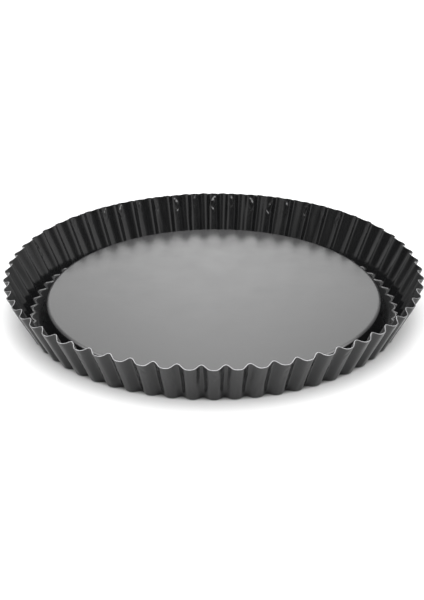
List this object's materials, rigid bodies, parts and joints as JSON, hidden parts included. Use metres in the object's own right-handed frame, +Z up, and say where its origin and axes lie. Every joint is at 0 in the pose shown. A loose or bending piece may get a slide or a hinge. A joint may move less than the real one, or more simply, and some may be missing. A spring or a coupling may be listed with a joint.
{
  "type": "tart pan",
  "caption": "Round fluted tart pan with a raised centre: flared fluted ring with a ledge, and a lift-out raised base resting on it.",
  "frame": {"origin": "centre of the underside, on the plane the pan stands on", "axes": "+Z up, out of the open side of the pan; +X and +Y point at lobes of the fluted wall"},
  "size_m": [0.3018, 0.3018, 0.0326],
  "materials": {
    "ring_coating": "satin non-stick coating, dark grey, on thin pressed steel sheet",
    "base_coating": "satin non-stick coating, dark grey, on thin pressed steel sheet"
  },
  "bodies": {
    "ring": {"fluted_ring": "ring_coating"},
    "base": {"raised_base": "base_coating"}
  },
  "joints": [
    {"name": "base_lift", "type": "slide", "parent": "ring", "child": "base", "axis": [0, 0, 1], "range_m": [0, 0.06]}
  ]
}
